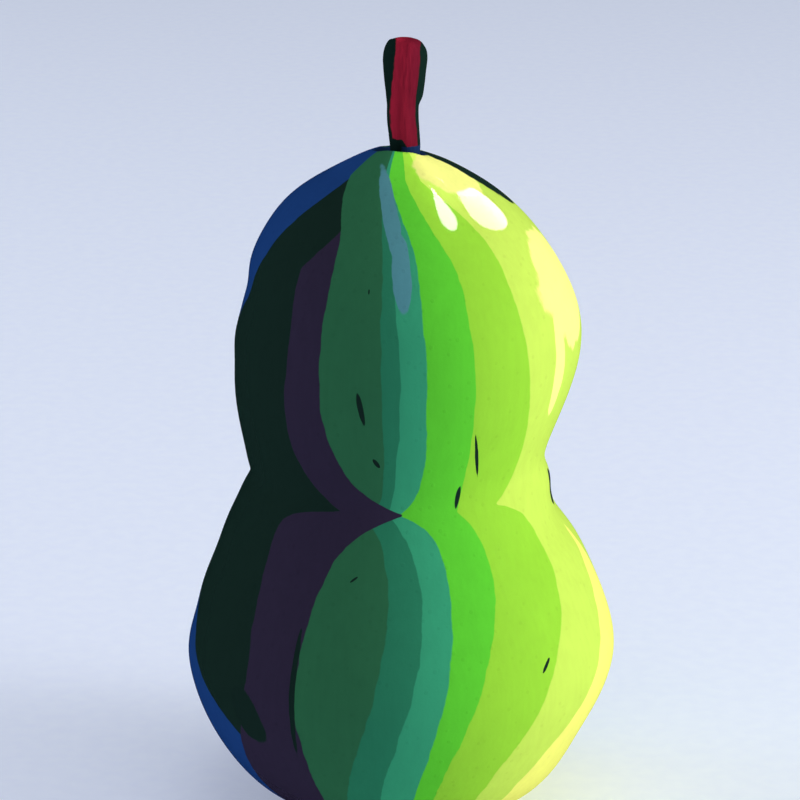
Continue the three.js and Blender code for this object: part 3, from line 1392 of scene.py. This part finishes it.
@dataclass
class Calyx:
    """The dried remains of the flower under the fruit: a cup, five sepals and a tuft of stamens."""

    roof: float
    hollow_depth: float
    pocket_radius: float
    foot_inner: float
    plug_radius: float = 2.2 * MM
    cup_radius: float = 3.1 * MM
    cup_height: float = 1.1 * MM
    cup_mouth: float = 0.5
    cup_turn: float = 0.8
    cup_flank: float = 0.6
    cup_steps: int = 10
    gap: float = 0.35 * MM
    sepal_count: int = 5
    sepal_from: float = 1.5 * MM
    sepal_length: float = 4.7 * MM
    sepal_root_half: float = 1.2 * MM
    sepal_swell: float = 1.55 * MM
    sepal_thickness: float = 0.45 * MM
    sepal_droop: float = 0.7 * MM
    sepal_curl: float = 150.0
    # Where the blade ends at its sides and at its tip, as shares of its full width and length.
    sepal_edge: float = 0.999
    sepal_end: float = 0.98
    sepal_grid: tuple[int, int] = (10, 24)
    crimp_height: float = 0.08 * MM
    crimp_along: float = 9.0
    crimp_across: float = 2.3
    stamen_count: int = 14
    stamen_ring: float = 1.15 * MM
    stamen_length: float = 1.6 * MM
    stamen_radius: float = 0.14 * MM
    stamen_taper: float = 0.5
    stamen_hang: float = 0.4
    stamen_seat: float = 0.8
    stamen_sides: int = 7
    splay: float = 0.35
    splay_spread: float = 0.25
    splay_step: float = 3.7
    sides: int = 60

    @classmethod
    def from_body(cls, body: PearBody) -> "Calyx":
        """Takes the driving sizes from the hollow that the calyx sits in."""
        return cls(body.pocket_roof, body.hollow_depth, body.pocket_radius, body.foot_inner)

    def hollow_roof(self, radius: float) -> float:
        """The height of the hollow's roof at a radius, a quarter ellipse from the pocket to the foot."""
        share = max(0.0, radius - self.pocket_radius) / (self.foot_inner - self.pocket_radius)
        return self.hollow_depth * math.sqrt(1 - min(1.0, share) ** 2)

    def cup(self) -> bmesh.types.BMesh:
        """Makes the plug in the pocket and the cup under it.

        Returns:
            Their surface.
        """
        top = self.hollow_depth - self.gap
        low = top - self.cup_height
        points = [
            outline_point(0.0, top - self.cup_height / 2),
            outline_point(self.cup_mouth * self.cup_radius, low),
        ]
        points += curve(
            points[-1],
            outline_point(self.cup_turn * self.cup_radius, low),
            outline_point(self.cup_radius, top - self.cup_flank * self.cup_height),
            outline_point(self.cup_radius, top),
            self.cup_steps,
        )
        points += [
            outline_point(self.plug_radius, top),
            outline_point(self.plug_radius, self.roof),
            outline_point(0.0, self.roof),
        ]
        return spun(points, self.sides)

    def sepal_place(self, across: float, along: float) -> Vector:
        """A place on a sepal that grows along +X under the hollow's roof.

        Args:
            across: From -1 on one edge to 1 on the other.
            along: From 0 at the root to 1 at the tip.

        Returns:
            The place.
        """
        swell = self.sepal_root_half * (1 - along) + self.sepal_swell * 2 * along * (1 - along)
        out = self.sepal_from + self.sepal_length * along
        side = across * swell
        roof = self.hollow_roof(math.hypot(out, side)) - self.gap - self.sepal_thickness
        fall = self.sepal_droop * along**3 + self.sepal_curl * side**2 * along
        crimp = self.crimp_height * math.sin(self.crimp_along * along + self.crimp_across * across) * along
        return Vector((out, side, roof - fall + crimp))

    def add_sepal(self, surface: bmesh.types.BMesh, number: int) -> None:
        """Adds one sepal to the calyx.

        Args:
            surface: The calyx in the making.
            number: Which of the sepals it is.
        """
        blade = bmesh.new()
        wide, long = self.sepal_grid
        bmesh.ops.create_grid(blade, x_segments=wide, y_segments=long, size=1.0)
        for vert in blade.verts:
            along = self.sepal_end * (vert.co.y + 1.0) / 2
            vert.co = self.sepal_place(self.sepal_edge * vert.co.x, along)
        bmesh.ops.recalc_face_normals(blade, faces=blade.faces)
        bmesh.ops.solidify(blade, geom=blade.faces, thickness=self.sepal_thickness)
        bmesh.ops.recalc_face_normals(blade, faces=blade.faces)
        turn = math.tau * number / self.sepal_count - math.pi / 2
        bmesh.ops.rotate(blade, verts=blade.verts, cent=(0, 0, 0), matrix=Matrix.Rotation(turn, 3, "Z"))
        self.join(surface, blade)

    def add_stamen(self, surface: bmesh.types.BMesh, number: int) -> None:
        """Adds one dried stamen, which hangs out of the cup.

        Args:
            surface: The calyx in the making.
            number: Which of the stamens it is.
        """
        turn = math.tau * number / self.stamen_count
        splay = self.splay + self.splay_spread * math.sin(self.splay_step * number)
        low = self.hollow_depth - self.gap - self.stamen_seat * self.cup_height
        place = (
            Matrix.Rotation(turn, 4, "Z")
            @ Matrix.Translation((self.stamen_ring, 0.0, low))
            @ Matrix.Rotation(-splay, 4, "Y")
            @ Matrix.Translation((0.0, 0.0, -self.stamen_hang * self.stamen_length))
        )
        thread = bmesh.new()
        bmesh.ops.create_cone(
            thread, cap_ends=True, segments=self.stamen_sides, radius1=self.stamen_radius,
            radius2=self.stamen_taper * self.stamen_radius, depth=self.stamen_length, matrix=place,
        )
        self.join(surface, thread)

    @staticmethod
    def join(surface: bmesh.types.BMesh, part: bmesh.types.BMesh) -> None:
        """Adds a part to a surface.

        Args:
            surface: The surface.
            part: The part, which is freed.
        """
        carrier = bpy.data.meshes.new("part")
        part.to_mesh(carrier)
        part.free()
        surface.from_mesh(carrier)
        bpy.data.meshes.remove(carrier)

    def build(self) -> bpy.types.Object:
        """Makes the piece.

        Returns:
            The piece.
        """
        surface = self.cup()
        for number in range(self.sepal_count):
            self.add_sepal(surface, number)
        for number in range(self.stamen_count):
            self.add_stamen(surface, number)
        return piece_object(surface, Piece.CALYX)

    def dress(self, made: bpy.types.Object) -> None:
        """Gives the piece its dried leaf."""
        made.data.materials.append(DriedLeafFinish().material())


@dataclass(frozen=True)
class DriedLeafFinish:
    """Brittle brown leaf with darker veins and pale dry blotches."""

    brown: Colour = (0.075, 0.040, 0.018)
    dark: Colour = (0.018, 0.011, 0.007)
    dry: Colour = (0.20, 0.135, 0.070)
    veins: Grain = Grain(0.5 * MM, 3.0, 0.3)
    blotch: Grain = Grain(1.8 * MM)
    dry_span: tuple[float, float] = (-0.2, 0.25)
    vein_span: tuple[float, float] = (0.02, 0.25)
    gloss: float = 0.2
    relief_depth: float = 0.1 * MM
    vein_height: float = 0.8
    roughness: float = 0.8
    blotch_roughness: float = 0.2

    def material(self) -> bpy.types.Material:
        """Makes the dried leaf.

        Returns:
            The material.
        """
        shader = Shader("dried_leaf", {"Specular IOR Level": self.gloss})
        place = shader.place()
        veins = self.veins.over(shader, place)
        blotch = self.blotch.over(shader, place)
        colour = shader.mixed(shader.rise(blotch, *self.dry_span), self.brown, self.dry)
        colour = shader.mixed(shader.rise(veins, *self.vein_span), colour, self.dark)
        shader.relief(0.5 + veins * self.vein_height, self.relief_depth)
        return shader.dress(colour, self.roughness + blotch * self.blotch_roughness)


@dataclass(frozen=True)
class FloorFinish:
    """Plain pale studio paper, lit a little from below."""

    paper: Colour = (0.66, 0.70, 0.80)
    fibre: Colour = (0.63, 0.67, 0.77)
    glow: float = 0.35
    grain: Grain = Grain(3 * MM)
    fibre_span: tuple[float, float] = (-0.3, 0.3)
    roughness: float = 0.9
    grain_roughness: float = 0.1

    def material(self) -> bpy.types.Material:
        """Makes the paper.

        Returns:
            The material.
        """
        light = {"Emission Color": (*self.paper, 1.0), "Emission Strength": self.glow}
        shader = Shader("studio_paper", {"Specular IOR Level": 0.0, **light})
        grain = self.grain.over(shader, shader.place())
        colour = shader.mixed(shader.rise(grain, *self.fibre_span), self.paper, self.fibre)
        return shader.dress(colour, self.roughness + grain * self.grain_roughness)


def raised(azimuth: float, elevation: float) -> Vector:
    """The unit vector to an azimuth and an elevation above the horizon."""
    lift = math.radians(elevation)
    return heading(azimuth) * math.cos(lift) + Vector((0.0, 0.0, math.sin(lift)))


class LampShape(Enum):
    """The outlines that a lamp may have."""

    OBLONG = "RECTANGLE"
    OVAL = "ELLIPSE"


@dataclass(frozen=True)
class Lamp:
    """A flat lamp that faces the pear from a distance."""

    name: str
    toward: Vector
    distance: float
    width: float
    length: float
    power: float
    colour: Colour = (1.0, 1.0, 1.0)
    in_gloss: bool = False
    in_diffuse: bool = True
    width_along: Vector = Vector((1.0, 0.0, 0.0))
    shape: LampShape = LampShape.OBLONG

    def build(self, aim: Vector) -> None:
        """Hangs the lamp.

        Args:
            aim: The point that it faces.
        """
        data = bpy.data.lights.new(self.name, "AREA")
        data.shape = self.shape.value
        data.size = self.width
        data.size_y = self.length
        data.energy = self.power
        data.color = self.colour
        back = self.toward.normalized()
        side = (self.width_along - self.width_along.dot(back) * back).normalized()
        turned = Matrix((side, back.cross(side), back)).transposed()
        made = bpy.data.objects.new(self.name, data)
        made.matrix_world = Matrix.Translation(aim + self.distance * back) @ turned.to_4x4()
        made.visible_glossy = self.in_gloss
        made.visible_diffuse = self.in_diffuse
        made.visible_camera = False
        bpy.context.scene.collection.objects.link(made)


@dataclass(frozen=True)
class Gleam:
    """An oval highlight on the skin, which mirrors a pane.

    The pane's half sizes are shares of its distance.
    """

    name: str
    azimuth: float
    height: float
    half_width: float
    half_length: float
    roll: float
    radiance: float
    distance: float = 0.7

    def lamp(self, studio: "Studio") -> Lamp:
        """The lamp whose mirror image in the skin is this highlight.

        Args:
            studio: The studio, which knows the skin and the camera.

        Returns:
            The lamp, which lights nothing but the gloss.
        """
        where, toward = studio.mirrored(self.azimuth, self.height)
        level = Vector((0.0, 0.0, 1.0)).cross(toward).normalized()
        roll = math.radians(self.roll)
        along = math.cos(roll) * level + math.sin(roll) * toward.cross(level)
        width = 2 * self.distance * self.half_width
        length = 2 * self.distance * self.half_length
        from_aim = where + self.distance * toward - studio.aim
        area = math.pi / 4 * width * length
        power = math.pi * area * self.radiance
        return Lamp(
            self.name, from_aim.normalized(), from_aim.length, width, length, power,
            in_gloss=True, in_diffuse=False, width_along=along, shape=LampShape.OVAL,
        )


@dataclass
class Studio:
    """A pale floor, soft light and the camera."""

    body: PearBody
    aim_height: float = 68.8 * MM
    camera_elevation: float = 17.0
    camera_distance: float = 550.0 * MM
    field: float = 128.0 * MM
    sensor: float = 36.0
    clip_start: float = 10 * MM
    floor_radius: float = 4.0
    floor_sides: int = 96
    sky: Colour = (0.72, 0.78, 0.92)
    sky_strength: float = 0.42

    @property
    def aim(self) -> Vector:
        """The point that the camera looks at."""
        return Vector((0.0, 0.0, self.aim_height))

    def floor(self) -> None:
        """Lays the floor that the pear stands on."""
        surface = bmesh.new()
        bmesh.ops.create_circle(surface, cap_ends=True, segments=self.floor_sides, radius=self.floor_radius)
        mesh = bpy.data.meshes.new("floor_mesh")
        surface.to_mesh(mesh)
        surface.free()
        mesh.materials.append(FloorFinish().material())
        made = bpy.data.objects.new("floor", mesh)
        made.visible_glossy = False
        bpy.context.scene.collection.objects.link(made)

    def mirrored(self, azimuth: float, height: float) -> tuple[Vector, Vector]:
        """What the skin mirrors to the camera at a place.

        Args:
            azimuth: The azimuth of the place.
            height: Its height.

        Returns:
            The place and the direction that shows in it.
        """
        where, normal = self.body.spot(azimuth, height)
        view = (self.aim + self.camera_distance * raised(0.0, self.camera_elevation) - where).normalized()
        return where, 2 * normal.dot(view) * normal - view

    def lamps(self) -> list[Lamp]:
        """The lamps: a soft key on the side where the skin is painted lit, a top light, a fill light and two
        panes for the gloss.

        Returns:
            The lamps, none of which the camera sees.
        """
        warm = (1.0, 0.985, 0.95)
        cool = (0.85, 0.92, 1.0)
        narrow = Gleam(
            "narrow_pane", azimuth=27.0, height=102.8 * MM, half_width=0.146, half_length=0.096, roll=-7.0,
            radiance=42.0,
        )
        wide = Gleam(
            "wide_pane", azimuth=53.0, height=102.3 * MM, half_width=0.284, half_length=0.140, roll=-47.0,
            radiance=23.5,
        )
        return [
            Lamp(
                "key", raised(azimuth=78.0, elevation=13.0), distance=0.9, width=0.5, length=0.4,
                power=7.5, colour=warm,
            ),
            Lamp(
                "top", raised(azimuth=20.0, elevation=75.0), distance=1.2, width=0.9, length=0.9,
                power=3.0,
            ),
            Lamp(
                "fill", raised(azimuth=-105.0, elevation=13.0), distance=0.9, width=0.5, length=0.4,
                power=2.5, colour=cool,
            ),
            narrow.lamp(self),
            wide.lamp(self),
        ]

    def camera(self) -> None:
        """Sets up the camera."""
        data = bpy.data.cameras.new("camera")
        data.sensor_width = self.sensor
        data.lens = self.sensor * self.camera_distance / self.field
        data.clip_start = self.clip_start
        made = bpy.data.objects.new("camera", data)
        toward = raised(0.0, self.camera_elevation)
        made.location = self.aim + self.camera_distance * toward
        made.rotation_mode = "QUATERNION"
        made.rotation_quaternion = (-toward).to_track_quat("-Z", "Y")
        bpy.context.scene.collection.objects.link(made)
        bpy.context.scene.camera = made

    def sky_light(self) -> None:
        """Fills the room with even light."""
        world = bpy.data.worlds.new("room")
        world.use_nodes = True
        background = world.node_tree.nodes["Background"]
        background.inputs["Color"].default_value = (*self.sky, 1.0)
        background.inputs["Strength"].default_value = self.sky_strength
        bpy.context.scene.world = world
        world.cycles_visibility.glossy = False

    def build(self) -> None:
        """Sets up the whole studio."""
        self.floor()
        self.camera()
        self.sky_light()
        for lamp in self.lamps():
            lamp.build(self.aim)
        bpy.context.scene.view_settings.view_transform = "Standard"


def main() -> None:
    """Builds and dresses each piece, then the studio round them."""
    logging.basicConfig(level=logging.INFO, format="%(name)s: %(message)s")
    body = PearBody.from_frame()
    for maker in (body, Stem.from_frame(body), Calyx.from_body(body)):
        made = maker.build()
        maker.dress(made)
        log.info("%s has %d faces", made.name, len(made.data.polygons))
    Studio(body).build()
    log.info("studio is set up")


if __name__ == "__main__":
    main()
